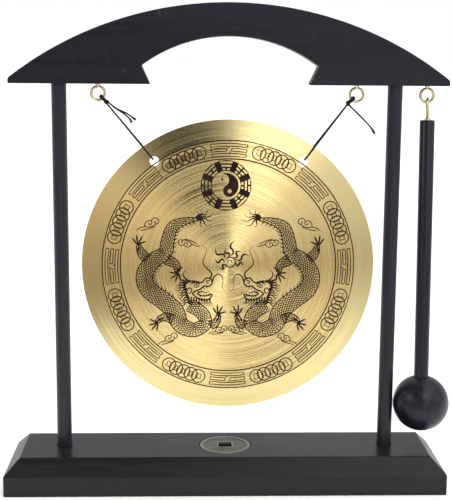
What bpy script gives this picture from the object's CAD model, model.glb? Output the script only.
"""A tabletop gong: a brushed brass disc on two cords under an arched black stand.

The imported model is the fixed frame. Every class below builds one sub-assembly around it and
dresses it. Lengths are metres unless a name or comment says millimetres.
"""

from __future__ import annotations

import logging
import math
from contextlib import contextmanager
from dataclasses import dataclass
from enum import Enum
from itertools import accumulate
from typing import Callable, Iterator, Optional, Sequence, Union

import bpy
from mathutils import Matrix, Vector


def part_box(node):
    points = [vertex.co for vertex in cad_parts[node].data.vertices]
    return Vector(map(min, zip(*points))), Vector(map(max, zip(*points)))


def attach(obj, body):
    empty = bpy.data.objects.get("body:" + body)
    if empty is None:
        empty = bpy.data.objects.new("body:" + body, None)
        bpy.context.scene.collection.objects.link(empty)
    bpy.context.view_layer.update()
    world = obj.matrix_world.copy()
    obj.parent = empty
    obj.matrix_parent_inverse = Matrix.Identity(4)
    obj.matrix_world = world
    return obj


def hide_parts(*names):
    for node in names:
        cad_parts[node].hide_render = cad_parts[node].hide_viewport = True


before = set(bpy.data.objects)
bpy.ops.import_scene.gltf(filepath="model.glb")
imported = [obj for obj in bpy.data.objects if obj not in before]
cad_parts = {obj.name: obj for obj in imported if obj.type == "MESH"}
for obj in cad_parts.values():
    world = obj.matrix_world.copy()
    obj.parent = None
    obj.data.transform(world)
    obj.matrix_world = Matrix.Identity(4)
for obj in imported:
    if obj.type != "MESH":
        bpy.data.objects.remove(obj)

LOG = logging.getLogger("gong")
MM = 0.001
PLIES = 3  # strands twisted into each cord

Point = Union[Vector, Sequence[float]]
Rows = Sequence[Sequence[float]]
Look = bpy.types.Material


class Body(Enum):
    """The bodies of the frame that a piece can ride on."""

    STAND = "stand"
    GONG = "gong"
    MALLET = "mallet"


class Side(Enum):
    """The gong's two hanging points, by their direction along X."""

    LEFT = -1
    RIGHT = 1

    @property
    def word(self) -> str:
        """The side's name as the nodes spell it."""
        return self.name.lower()


class Taper(Enum):
    """How a drawn stroke's width changes from its start to its end."""

    NONE = "none"
    END = "end"
    BOTH = "both"

    def at(self, share: float) -> float:
        """The share of its full width that a stroke has at a share of its length."""
        full = {Taper.NONE: 1.0, Taper.END: 1 - share, Taper.BOTH: math.sin(math.pi * share)}[self]
        return 0.1 + 0.9 * full


# ---------------------------------------------------------------- lines and places


def flow(points: Sequence[Point], pitch: float) -> list[Vector]:
    """Evenly spaced points on a smooth line.

    Args:
        points: The places that the line passes through.
        pitch: The wanted distance between neighbours.

    Returns:
        The line's points, its two ends included.
    """
    knots = [Vector(point) for point in points]
    padded = [2 * knots[0] - knots[1], *knots, 2 * knots[-1] - knots[-2]]
    dense, between = [], 24
    for a, b, c, d in zip(padded, padded[1:], padded[2:], padded[3:]):
        for i in range(between):
            t = i / between
            dense.append(0.5 * (2 * b + (c - a) * t + (2 * a - 5 * b + 4 * c - d) * t * t
                                + (3 * b - a - 3 * c + d) * t ** 3))
    dense.append(knots[-1])
    lengths = run_of(dense)
    count = max(2, round(lengths[-1] / pitch))
    line, k = [], 0
    for i in range(count + 1):
        at = lengths[-1] * i / count
        while k < len(dense) - 2 and lengths[k + 1] < at:
            k += 1
        share = (at - lengths[k]) / max(lengths[k + 1] - lengths[k], 1e-12)
        line.append(dense[k].lerp(dense[k + 1], min(share, 1.0)))
    return line


def arc(centre: Sequence[float], radius: float, start: float, end: float, steps: int) -> list[tuple]:
    """Points on an arc, with angles in degrees from the first axis towards the second."""
    turns = [math.radians(start + (end - start) * i / steps) for i in range(steps + 1)]
    return [(centre[0] + radius * math.cos(t), centre[1] + radius * math.sin(t)) for t in turns]


def run_of(line: Sequence[Vector]) -> list[float]:
    """How far along a line each of its points lies."""
    return [0.0, *accumulate((b - a).length for a, b in zip(line, line[1:]))]


def swung(points: Rows, angle: float, centre: Sequence[float] = (0, 0), size: float = 1) -> list[tuple]:
    """Points scaled, turned anticlockwise by degrees about the origin and moved to a centre."""
    c, s = size * math.cos(math.radians(angle)), size * math.sin(math.radians(angle))
    return [(x * c - y * s + centre[0], x * s + y * c + centre[1]) for x, y in points]


def neighbours(line: Sequence[Vector]) -> list[Vector]:
    """From each point's last neighbour to its next."""
    return [b - a for a, b in zip([line[0], *line], [*line[1:], line[-1]])]


# ---------------------------------------------------------------- modelling with Blender's tools


class Workpiece:
    """One mesh on the bench, shaped with the editor's own operators."""

    square_on = 0.999  # the cosine within which a face points one way

    def __init__(self, name: str) -> None:
        """Takes the primitive that was just added.

        Args:
            name: The piece's name.
        """
        self.obj = bpy.context.object
        self.obj.name = name
        self.obj.data.name = name

    @staticmethod
    def clear() -> None:
        """Deselects everything, so that an operator meets only what is chosen next."""
        bpy.ops.object.select_all(action="DESELECT")

    @classmethod
    def box(cls, name: str, low: Point, high: Point) -> Workpiece:
        """A box between two corners.

        Args:
            name: The piece's name.
            low: The lowest corner.
            high: The highest corner.

        Returns:
            The box.
        """
        cls.clear()
        low, high = Vector(low), Vector(high)
        bpy.ops.mesh.primitive_cube_add(size=1, location=(low + high) / 2, scale=high - low)
        return cls(name).settle()

    @classmethod
    def rod(cls, name: str, radius: float, low: Point, high: Point, sides: int = 64) -> Workpiece:
        """A round bar.

        Args:
            name: The piece's name.
            radius: Its radius.
            low: The centre of one end.
            high: The centre of the other end.
            sides: How many faces go round.

        Returns:
            The bar.
        """
        cls.clear()
        low, high = Vector(low), Vector(high)
        turn = (high - low).to_track_quat("Z", "Y").to_euler()
        bpy.ops.mesh.primitive_cylinder_add(
            vertices=sides, radius=radius, depth=(high - low).length,
            location=(low + high) / 2, rotation=turn)
        return cls(name).settle()

    @classmethod
    def turned(cls, name: str, profile: Rows, steps: int = 64) -> Workpiece:
        """A piece turned about Z.

        Args:
            name: The piece's name.
            profile: Its outline as (radius, height), ending on the axis or closing on itself.
            steps: How many faces go round.

        Returns:
            The turned piece.
        """
        cls.clear()
        bpy.ops.mesh.primitive_plane_add(size=1)
        piece = cls(name)
        places = [Vector((radius, 0, height)) for radius, height in profile]
        with piece.editing():
            bpy.ops.mesh.merge(type="CENTER")
            bpy.ops.transform.translate(value=places[0])
            for a, b in zip(places, places[1:]):
                bpy.ops.mesh.extrude_region_move(TRANSFORM_OT_translate={"value": b - a})
            bpy.ops.mesh.select_all(action="SELECT")
            bpy.ops.mesh.spin(steps=steps, angle=2 * math.pi, center=(0, 0, 0), axis=(0, 0, 1))
        return piece.weld()

    @classmethod
    def drawn(cls, name: str, data: Union[bpy.types.Mesh, bpy.types.Curve]) -> Workpiece:
        """A piece from a mesh or curve that was drawn point by point.

        Args:
            name: The piece's name.
            data: What was drawn.

        Returns:
            The piece, chosen.
        """
        obj = bpy.data.objects.new(name, data)
        bpy.context.scene.collection.objects.link(obj)
        bpy.context.view_layer.objects.active = obj
        piece = cls(name)
        piece.pick()
        return piece

    def settle(self) -> Workpiece:
        """Moves the object's place, turn and scale into its mesh."""
        bpy.ops.object.transform_apply(location=True, rotation=True, scale=True)
        return self

    def pick(self) -> None:
        """Makes this the only chosen object."""
        self.clear()
        self.obj.select_set(True)
        bpy.context.view_layer.objects.active = self.obj

    @contextmanager
    def editing(self, towards: Sequence[float] = (),
                ends: Optional[Callable[[Vector], bool]] = None) -> Iterator[None]:
        """Opens edit mode with the whole mesh chosen, or a part of it, and closes it afterwards.

        Args:
            towards: Chooses only the faces whose normals point this way.
            ends: Chooses only the edges whose two ends both pass this test.
        """
        some = bool(towards or ends)
        mesh = self.obj.data
        self.pick()
        bpy.ops.object.mode_set(mode="EDIT")
        bpy.ops.mesh.select_mode(type="FACE" if towards else "EDGE" if ends else "VERT")
        bpy.ops.mesh.select_all(action="DESELECT" if some else "SELECT")
        bpy.ops.object.mode_set(mode="OBJECT")
        for face in mesh.polygons if towards else ():
            face.select = face.normal.dot(Vector(towards)) > self.square_on
        for edge in mesh.edges if ends else ():
            edge.select = all(ends(mesh.vertices[i].co) for i in edge.vertices)
        bpy.ops.object.mode_set(mode="EDIT")
        yield
        bpy.ops.object.mode_set(mode="OBJECT")

    def extrude(self, towards: Point, by: Point, scale: Point, about: Point) -> Workpiece:
        """Draws one flat end out and narrows it.

        Args:
            towards: The normal of the faces to draw.
            by: How far they move.
            scale: The new size of the drawn end over its old one.
            about: The point that the scaling keeps.

        Returns:
            The same piece.
        """
        with self.editing(towards=towards):
            bpy.ops.mesh.extrude_region_move(TRANSFORM_OT_translate={"value": Vector(by)})
            bpy.ops.transform.resize(value=Vector(scale), center_override=Vector(about))
        return self

    def slice(self, at: Point, normal: Point) -> Workpiece:
        """Saws off what lies beyond a plane.

        Args:
            at: A point of the plane.
            normal: The plane's normal, which points to what goes.

        Returns:
            The same piece.
        """
        with self.editing():
            bpy.ops.mesh.bisect(plane_co=Vector(at), plane_no=Vector(normal), use_fill=True, clear_outer=True)
        return self

    def weld(self, within: float = 1e-6) -> Workpiece:
        """Merges the points that meet and turns every face outwards.

        Args:
            within: How close points are that meet.

        Returns:
            The same piece.
        """
        with self.editing():
            bpy.ops.mesh.remove_doubles(threshold=within)
            bpy.ops.mesh.normals_make_consistent(inside=False)
        return self

    def modify(self, kind: str, **settings: object) -> Workpiece:
        """Adds a modifier and applies it.

        Args:
            kind: The modifier's type.
            settings: Its properties.

        Returns:
            The same piece.
        """
        self.pick()
        modifier = self.obj.modifiers.new(kind.title(), kind)
        for key, value in settings.items():
            setattr(modifier, key, value)
        bpy.ops.object.modifier_apply(modifier=modifier.name)
        return self

    def cut(self, *tools: Workpiece) -> Workpiece:
        """Cuts the shape of each tool out of the piece, and puts the tools away.

        Args:
            tools: The shapes to cut out.

        Returns:
            The same piece.
        """
        for tool in tools:
            self.modify("BOOLEAN", operation="DIFFERENCE", solver="EXACT", object=tool.obj)
            bpy.data.objects.remove(tool.obj)
        return self

    def soften(self, width: float, segments: int = 3, angle: float = 35) -> Workpiece:
        """Rounds the edges that are sharper than an angle in degrees."""
        return self.modify("BEVEL", width=width, segments=segments, limit_method="ANGLE",
                           angle_limit=math.radians(angle), use_clamp_overlap=True)

    def smooth(self, angle: float = 30) -> Workpiece:
        """Shades smooth everything but the sharp edges.

        Args:
            angle: How sharp those are, in degrees.

        Returns:
            The same piece.
        """
        self.pick()
        bpy.ops.object.shade_smooth_by_angle(angle=math.radians(angle))
        return self

    def flatten(self, angle: float = 30) -> Workpiece:
        """Smooths the rounded edges only, so that the large faces stay flat in the light."""
        return self.smooth(angle).modify("WEIGHTED_NORMAL", keep_sharp=True, weight=100)

    def place(self, matrix: Matrix) -> Workpiece:
        """Moves the mesh, leaving the object itself at the origin."""
        self.obj.data.transform(matrix)
        return self

    def join(self, *others: Workpiece) -> Workpiece:
        """Takes other pieces into this one as further shells.

        Args:
            others: The pieces to take in.

        Returns:
            The same piece.
        """
        self.pick()
        for other in others:
            other.obj.select_set(True)
        bpy.ops.object.join()
        return self


def tube(name: str, line: Sequence[Point], radius: float) -> Workpiece:
    """A round wire with capped ends, as a mesh.

    Args:
        name: The piece's name.
        line: The points that its middle passes through.
        radius: Its radius.

    Returns:
        The wire.
    """
    Workpiece.clear()
    bpy.ops.curve.primitive_bezier_curve_add()
    wire = Workpiece(name)
    curve = wire.obj.data
    curve.splines.clear()
    spline = curve.splines.new("POLY")
    spline.points.add(len(line) - 1)
    for point, place in zip(spline.points, line):
        point.co = (*place, 1)
    curve.dimensions = "3D"
    curve.bevel_depth = radius
    curve.bevel_resolution = 4
    curve.use_fill_caps = True
    wire.pick()
    wire.settle()
    bpy.ops.object.convert(target="MESH")
    return wire.weld()


# ---------------------------------------------------------------- materials


class Wire:
    """One value in a material. Python's operators on it add Math nodes."""

    def __init__(self, bench: Bench, socket: bpy.types.NodeSocket) -> None:
        """Wraps an output socket of the material on the bench."""
        self.bench = bench
        self.socket = socket

    def math(self, operation: str, *others: Union[Wire, float], flip: bool = False) -> Wire:
        """Adds one Math node.

        Args:
            operation: The node's operation.
            others: Its further operands.
            flip: Whether this value comes last instead of first.

        Returns:
            The node's value.
        """
        operands = [*others, self] if flip else [self, *others]
        return self.bench.add("ShaderNodeMath", {"operation": operation}, dict(enumerate(operands)))

    def __add__(self, other: Union[Wire, float]) -> Wire:
        """The sum."""
        return self.math("ADD", other)

    def __sub__(self, other: Union[Wire, float]) -> Wire:
        """The difference."""
        return self.math("SUBTRACT", other)

    def __rsub__(self, other: float) -> Wire:
        """The difference from a number."""
        return self.math("SUBTRACT", other, flip=True)

    def __mul__(self, other: Union[Wire, float]) -> Wire:
        """The product."""
        return self.math("MULTIPLY", other)

    def __truediv__(self, other: Union[Wire, float]) -> Wire:
        """The quotient."""
        return self.math("DIVIDE", other)

    __radd__ = __add__
    __rmul__ = __mul__

    def over(self, edge: float, soft: float) -> Wire:
        """0 below an edge and 1 above it, turning over within the soft width."""
        inputs = {"Value": self, "From Min": edge - soft / 2, "From Max": edge + soft / 2}
        return self.bench.add("ShaderNodeMapRange", {"interpolation_type": "SMOOTHSTEP"}, inputs)

    def between(self, low: float, high: float) -> Wire:
        """The value's 0 to 1 spread between two others."""
        return self * (high - low) + low


Value = Union[Wire, float, Point]


class Bench:
    """A node tree and the means to wire it."""

    def __init__(self, owner: Union[Look, bpy.types.World]) -> None:
        """Opens a tree.

        Args:
            owner: The material or world that it belongs to.
        """
        owner.use_nodes = True
        self.material = owner
        self.tree = owner.node_tree
        self.shader = self.tree.nodes.get("Principled BSDF")

    def plug(self, socket: bpy.types.NodeSocket, value: Value) -> None:
        """Fills a socket.

        Args:
            socket: The input socket.
            value: What goes in: a wire, a number, a vector or a colour.
        """
        if isinstance(value, Wire):
            self.tree.links.new(value.socket, socket)
        elif isinstance(value, (tuple, list)) and socket.type == "RGBA":
            socket.default_value = (*value[:3], 1)
        else:
            socket.default_value = value

    def add(self, kind: str, settings: dict, inputs: dict, output: Union[str, int] = 0) -> Wire:
        """Adds a node.

        Args:
            kind: The node's type.
            settings: Its properties, with a colour ramp's stops under "stops".
            inputs: The values or wires of its sockets, by name or number.
            output: Which of its outputs is wanted.

        Returns:
            That output.
        """
        node = self.tree.nodes.new(kind)
        for key, value in settings.items():
            if key == "stops":
                self.set_stops(node.color_ramp, value)
            else:
                setattr(node, key, value)
        for key, value in inputs.items():
            self.plug(node.inputs[key], value)
        return Wire(self, node.outputs[output])

    @staticmethod
    def set_stops(ramp: bpy.types.ColorRamp, stops: Sequence[tuple]) -> None:
        """Gives a colour ramp its stops.

        Args:
            ramp: The ramp.
            stops: The position and colour of each.
        """
        while len(ramp.elements) < len(stops):
            ramp.elements.new(0.5)
        for element, (position, colour) in zip(ramp.elements, stops):
            element.position = position
            element.color = (*colour, 1)

    def vector(self, operation: str, first: Wire, second: Union[Wire, Vector]) -> Wire:
        """One step of vector maths on two vectors."""
        return self.add("ShaderNodeVectorMath", {"operation": operation}, {0: first, 1: second})

    def place(self, centre: Point = (0, 0, 0), scale: Point = (1, 1, 1)) -> Wire:
        """The surface point from a centre, stretched by a scale along each axis."""
        point = self.add("ShaderNodeTexCoord", {}, {}, "Object")
        return self.vector("MULTIPLY", self.vector("SUBTRACT", point, Vector(centre)), Vector(scale))

    def combine(self, *parts: Union[Wire, float]) -> Wire:
        """A vector of three parts."""
        return self.add("ShaderNodeCombineXYZ", {}, dict(enumerate(parts)))

    def axes(self, vector: Wire) -> list[Wire]:
        """A vector's X, Y and Z."""
        node = self.add("ShaderNodeSeparateXYZ", {}, {0: vector}).socket.node
        return [Wire(self, output) for output in node.outputs]

    def noise(self, scale: float, detail: float = 3, rough: float = 0.5, at: Optional[Wire] = None) -> Wire:
        """Soft noise around 0.5, read at the surface point or at another vector."""
        inputs = {"Vector": at or self.place(), "Scale": scale, "Detail": detail, "Roughness": rough}
        return self.add("ShaderNodeTexNoise", {}, inputs, "Fac")

    def mix(self, factor: Wire, low: Value, high: Value) -> Wire:
        """A colour between two others."""
        return self.add("ShaderNodeMix", {"data_type": "RGBA"}, {0: factor, 6: low, 7: high}, 2)

    def bump(self, height: Wire, depth: float) -> None:
        """Raises the surface by a height of 0 to 1 times a depth in metres."""
        inputs = {"Strength": 1.0, "Distance": depth, "Height": height}
        self.set(Normal=self.add("ShaderNodeBump", {}, inputs))

    def set(self, **values: Value) -> None:
        """Gives the shader its values; an underscore stands for a space."""
        for key, value in values.items():
            self.plug(self.shader.inputs[key.replace("_", " ")], value)


@dataclass(frozen=True)
class Finish:
    """A finish, which is made as one material."""

    name: str

    def make(self) -> Look:
        """Makes the material.

        Returns:
            The material.
        """
        bench = Bench(bpy.data.materials.new(self.name))
        self.wire(bench)
        return bench.material

    def wire(self, bench: Bench) -> None:
        """Wires the material's nodes on its bench."""
        raise NotImplementedError


@dataclass(frozen=True)
class StainedWood(Finish):
    """Black-stained, satin-lacquered wood with a faint open grain along one axis."""

    stretch: tuple = (0.06, 1.0, 1.0)
    dark: tuple = (0.0030, 0.0034, 0.0085)
    light: tuple = (0.0088, 0.0096, 0.0195)
    rub: tuple = (0.036, 0.033, 0.032)
    gloss: float = 0.34
    coat: float = 0.05
    wear: float = 0.31  # share of the surface's noise that shows as scuffs

    def wire(self, bench: Bench) -> None:
        """Wires the material's nodes.

        Args:
            bench: The material's bench.
        """
        at = bench.place(scale=self.stretch)
        grain = bench.noise(900, 5, 0.62, at)
        figure = bench.noise(120, at=at)
        cloud = bench.noise(45, 4, 0.6)
        scuff = bench.noise(420, 6, 0.75, bench.place(scale=(1, 1, 0.5))).over(1 - self.wear, 0.07)
        tone = (grain * 0.5 + figure * 0.5).over(0.5, 0.3)
        stained = bench.mix(tone, self.dark, self.light)
        bench.set(
            Base_Color=bench.mix(scuff * cloud.over(0.5, 0.2) * 0.7, stained, self.rub),
            Roughness=(tone * 0.5 + cloud * 0.5).between(self.gloss - 0.07, self.gloss + 0.12) + scuff * 0.1,
            Coat_Weight=self.coat,
            Coat_Roughness=0.22,
            Specular_IOR_Level=0.3,
        )
        bench.bump(grain * 0.7 + figure * 0.3, 0.05 * MM)


@dataclass(frozen=True)
class BrushedBrass(Finish):
    """Sheet brass brushed in circles on a lathe, its bent rim a little paler and smoother."""

    centre: tuple
    rim_at: float
    cut: float = 0.2  # how far the grooves' sides lean, as a slope
    dome: float = 0.06  # the slope that the face has gained by its rim
    colour: tuple = (0.86, 0.67, 0.31)
    shade: tuple = (0.76, 0.57, 0.25)
    rim: tuple = (0.79, 0.655, 0.325)

    def wire(self, bench: Bench) -> None:
        """Wires the material's nodes. Each groove leans the surface in or out along the radius.

        Args:
            bench: The material's bench.
        """
        x, _, z = bench.axes(bench.place(self.centre))
        radius = (x * x + z * z).math("SQRT")
        away = radius.math("MAXIMUM", 0.01 * MM)
        out = bench.combine(x / away, 0.0, z / away)
        rim = radius.over(self.rim_at, 0.6 * MM)

        def rings(pitch: float, sweep: float, detail: float) -> Wire:
            """Noise that changes over a pitch across the rings and slowly round them."""
            at = bench.combine(radius * (1 / pitch), (x / away) * sweep, (z / away) * sweep)
            return bench.noise(1, detail, 0.6, at) - 0.5

        def grooves(pitch: float) -> Wire:
            """A lean of -1 to 1 of its own for every groove."""
            number = (radius / pitch).math("FLOOR")
            return bench.add("ShaderNodeTexWhiteNoise", {"noise_dimensions": "1D"}, {"W": number}) * 2 - 1

        mid = rings(0.8 * MM, 0.9, 3)
        wide = rings(5 * MM, 0.6, 2)
        lean = (grooves(0.043 * MM) + grooves(0.071 * MM)) * self.cut + mid * 0.34 + wide * 0.16
        lean = lean * rim.between(1.0, 0.45) + radius * (self.dome / self.rim_at) * (1 - rim)
        across = bench.add("ShaderNodeVectorTransform", {
            "vector_type": "VECTOR", "convert_from": "OBJECT", "convert_to": "WORLD"}, {0: out})
        push = bench.add("ShaderNodeVectorMath", {"operation": "SCALE"}, {0: across, "Scale": lean})
        flat = bench.add("ShaderNodeNewGeometry", {}, {}, "Normal")
        leant = bench.vector("ADD", flat, push)
        normal = bench.add("ShaderNodeVectorMath", {"operation": "NORMALIZE"}, {0: leant})
        stain = bench.noise(38, 4, 0.6).over(0.62, 0.3)
        face = bench.mix((mid + 0.5).over(0.45, 0.5) * 0.8 + stain * 0.2, self.shade, self.colour)
        bench.set(
            Base_Color=bench.mix(rim, face, self.rim),
            Metallic=1.0,
            Roughness=rim.between(0.14, 0.17) + (mid * 0.08),
            Normal=normal,
        )


@dataclass(frozen=True)
class Metal(Finish):
    """Plain metal with handling marks: a clean colour, a tarnished one and how they lie."""

    clean: tuple
    tarnish: tuple
    gloss: float
    grain: float = 1500

    def wire(self, bench: Bench) -> None:
        """Wires the material's nodes.

        Args:
            bench: The material's bench.
        """
        spots = bench.noise(self.grain, 4, 0.6)
        film = bench.noise(self.grain / 6).over(0.5, 0.35)
        bench.set(
            Base_Color=bench.mix(film * 0.7 + spots * 0.3, self.clean, self.tarnish),
            Metallic=1.0,
            Roughness=film.between(self.gloss, self.gloss + 0.18) + spots * 0.05,
        )
        bench.bump(spots, 0.01 * MM)


@dataclass(frozen=True)
class AgedCoin(Finish):
    """Grey-green struck metal, rubbed paler where it stands up."""

    field_top: float
    low: tuple = (0.10, 0.105, 0.082)
    high: tuple = (0.30, 0.30, 0.25)

    def wire(self, bench: Bench) -> None:
        """Wires the material's nodes.

        Args:
            bench: The material's bench.
        """
        _, _, height = bench.axes(bench.place())
        raised = height.over(self.field_top + 0.15 * MM, 0.1 * MM)
        mottle = bench.noise(700, 5, 0.65)
        bloom = bench.noise(160)
        pale = raised * 0.75 + (mottle - 0.5) * 0.9 + (bloom - 0.5) * 0.6
        bench.set(
            Base_Color=bench.mix(pale, self.low, self.high),
            Metallic=(raised * 0.3) + 0.6,
            Roughness=mottle.between(0.36, 0.62) - raised * 0.1,
        )
        bench.bump(mottle, 0.06 * MM)


@dataclass(frozen=True)
class PrintedInk(Finish):
    """Dark brown ink printed on the brass, a little uneven."""

    thin: tuple = (0.034, 0.018, 0.010)
    full: tuple = (0.011, 0.0055, 0.004)

    def wire(self, bench: Bench) -> None:
        """Wires the material's nodes.

        Args:
            bench: The material's bench.
        """
        patch = bench.noise(260, 4, 0.6).over(0.52, 0.3)
        speck = bench.noise(3500, 2)
        bench.set(
            Base_Color=bench.mix(patch, self.full, self.thin),
            Roughness=(patch * 0.5 + speck * 0.5).between(0.5, 0.7),
            Specular_IOR_Level=0.12,
        )
        bench.bump(speck, 0.006 * MM)


@dataclass(frozen=True)
class TwistedCord(Finish):
    """Waxed black cord: three plies of fine fibre, read from the cord's own map."""

    dark: tuple = (0.003, 0.003, 0.004)
    light: tuple = (0.013, 0.013, 0.016)

    def wire(self, bench: Bench) -> None:
        """Wires the material's nodes. The cord's map runs round it along U and down its twist along V.

        Args:
            bench: The material's bench.
        """
        around, along, _ = bench.axes(bench.add("ShaderNodeUVMap", {"uv_map": "run"}, {}))
        ply = ((around - along) * (PLIES * 2 * math.pi)).math("COSINE") * 0.5 + 0.5
        fibre = ((around - along * 0.35) * (22 * 2 * math.pi)).math("SINE") * 0.5 + 0.5
        lint = bench.noise(2600, 3, 0.6)
        bench.set(
            Base_Color=bench.mix(ply * 0.5 + fibre * 0.2 + lint * 0.3, self.dark, self.light),
            Roughness=(fibre * 0.5 + lint * 0.5).between(0.5, 0.75),
            Specular_IOR_Level=0.3,
        )
        bench.bump(ply * 0.6 + fibre * 0.4, 0.05 * MM)


# ---------------------------------------------------------------- finishing a piece


def dress(piece: Workpiece, look: Look, body: Body, slot: str, *nodes: str) -> bpy.types.Object:
    """Dresses a piece, names its slot, hides what it stands for and sets it riding.

    Args:
        piece: The finished shape, in place.
        look: Its material.
        body: The body that it moves with.
        slot: The record's material slot.
        nodes: The frame's nodes that it stands for.

    Returns:
        The piece's object.
    """
    obj = piece.obj
    obj.data.materials.clear()
    obj.data.materials.append(look)
    if nodes:
        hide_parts(*nodes)
    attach(obj, body.value)
    LOG.info("%s: %d faces on %s", obj.name, len(obj.data.polygons), body.value)
    return obj


# ---------------------------------------------------------------- studio


@dataclass(frozen=True)
class Softbox:
    """A square lamp that faces a point, placed by its direction from the gong."""

    name: str
    turn: float  # degrees towards +X, seen from the gong looking to the front
    rise: float  # degrees above the horizontal
    away: float
    width: float
    height: float
    glow: float  # radiance
    tint: tuple = (1, 1, 1)
    roll: float = 0

    def light(self, target: Vector) -> None:
        """Hangs the lamp and aims it.

        Args:
            target: The point that it faces.
        """
        turn, rise = math.radians(self.turn), math.radians(self.rise)
        way = Vector((math.sin(turn) * math.cos(rise), -math.cos(turn) * math.cos(rise), math.sin(rise)))
        bpy.ops.object.light_add(type="AREA")
        lamp = bpy.context.object
        lamp.name = self.name
        aim = way.to_track_quat("Z", "Y").to_matrix().to_4x4()
        lamp.matrix_world = Matrix.Translation(target + way * self.away) @ aim @ Matrix.Rotation(
            math.radians(self.roll), 4, "Z")
        lamp.data.shape = "RECTANGLE"
        lamp.data.size = self.width
        lamp.data.size_y = self.height
        lamp.data.energy = self.glow * math.pi * self.width * self.height
        lamp.data.color = self.tint
        lamp.visible_camera = False


@dataclass(frozen=True)
class Studio:
    """Camera, lamps, surroundings and floor."""

    eye: tuple = (-0.0193, -0.5682, 0.2200)
    turn: float = 1.918  # degrees towards +X
    tilt: float = 9.725  # degrees down
    roll: float = 0.449
    lens: float = 80.85
    mirror: tuple = (0.035, -0.183)  # X and Z of the camera's reflection in the gong
    bright: float = 2.1  # the radiance that a panel of 1 stands for
    back: float = 0.34
    sun: float = 2.3
    floor_size: float = 40
    floor_front: float = 0.16
    # Each panel's turn in degrees, its level and, where it isn't neutral, its tint.
    panels: tuple = (
        (0, 0.12), (9, 0.9), (30, 0.9), (40, 0.42), (66, 0.37), (88, 0.23, 1, 0.96, 0.9), (112, 0.48),
        (228, 0.46), (256, 0.17, 1, 0.84, 0.68), (282, 0.24, 1, 0.84, 0.68), (308, 0.42, 1, 0.9, 0.78),
        (320, 0.2, 1, 0.94, 0.86), (330, 0.014, 1, 0.94, 0.86), (353, 0.014, 1, 0.94, 0.86), (359.9, 0.12))

    def camera(self) -> None:
        """Sets up the camera."""
        bpy.ops.object.camera_add()
        camera = bpy.context.object
        camera.data.lens = self.lens
        camera.matrix_world = (
            Matrix.Translation(self.eye)
            @ Matrix.Rotation(-math.radians(self.turn), 4, "Z")
            @ Matrix.Rotation(math.radians(90 - self.tilt), 4, "X")
            @ Matrix.Rotation(math.radians(self.roll), 4, "Z"))
        bpy.context.scene.camera = camera

    def surroundings(self) -> None:
        """Surrounds the set with pale panels, bright and dark by turns round the gong's mirror line."""
        world = bpy.data.worlds.new("studio")
        bpy.context.scene.world = world
        bench = Bench(world)
        x, y, z = bench.axes(bench.add("ShaderNodeTexCoord", {}, {}, "Generated"))
        mirror_x, mirror_z = self.mirror
        turn = (x - mirror_x).math("ARCTAN2", z - mirror_z) / (2 * math.pi)
        stops = [(degrees / 360, tuple(level * share for share in tint or (1, 1, 1)))
                 for degrees, level, *tint in self.panels]
        panels = bench.add("ShaderNodeValToRGB", {"stops": stops}, {0: turn.math("FRACT")})
        behind = y.over(0.1, 0.8) * z.over(0.12, 0.16).between(0.4, 1.0)
        seen = bench.add("ShaderNodeLightPath", {}, {}, "Is Camera Ray")
        around = bench.mix(behind, panels, (self.back,) * 3)
        glow = bench.mix(seen, around, (1 / self.bright,) * 3)
        sky = bench.tree.nodes["Background"]
        bench.plug(sky.inputs["Color"], glow)
        bench.plug(sky.inputs["Strength"], self.bright)

    def lamps(self, target: Vector) -> None:
        """Hangs the softboxes and the overhead light.

        Args:
            target: The point that the softboxes face.
        """
        for box in (
            Softbox("key_lamp", 16, 40, 1.0, 0.22, 0.32, 3.0, roll=-22),
            Softbox("left_lamp", -62, 26, 1.0, 0.22, 0.22, 5.0, tint=(1, 0.97, 0.93)),
            Softbox("right_lamp", 66, 16, 1.0, 0.2, 0.4, 1.2),
        ):
            box.light(target)
        bpy.ops.object.light_add(type="SUN", location=(0, 0, 2))
        sun = bpy.context.object
        sun.name = "overhead_lamp"
        sun.data.energy = self.sun
        sun.data.angle = math.radians(70)
        sun.visible_glossy = False

    def floor(self) -> None:
        """Lays the pale floor, which ends a little way in front of the set."""
        Workpiece.clear()
        middle = (0, self.floor_size / 2 - self.floor_front, 0)
        bpy.ops.mesh.primitive_plane_add(size=self.floor_size, location=middle)
        floor = Workpiece("floor").settle().obj
        bench = Bench(bpy.data.materials.new("pale_floor"))
        bench.set(Base_Color=(0.93, 0.93, 0.93), Roughness=0.9, Specular_IOR_Level=0.2)
        floor.data.materials.append(bench.material)

    def build(self, target: Vector) -> None:
        """Sets the whole studio up.

        Args:
            target: The middle of the gong, which the lamps face.
        """
        self.camera()
        self.surroundings()
        self.lamps(target)
        self.floor()
        bpy.context.scene.view_settings.view_transform = "Standard"


# ---------------------------------------------------------------- cords


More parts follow.
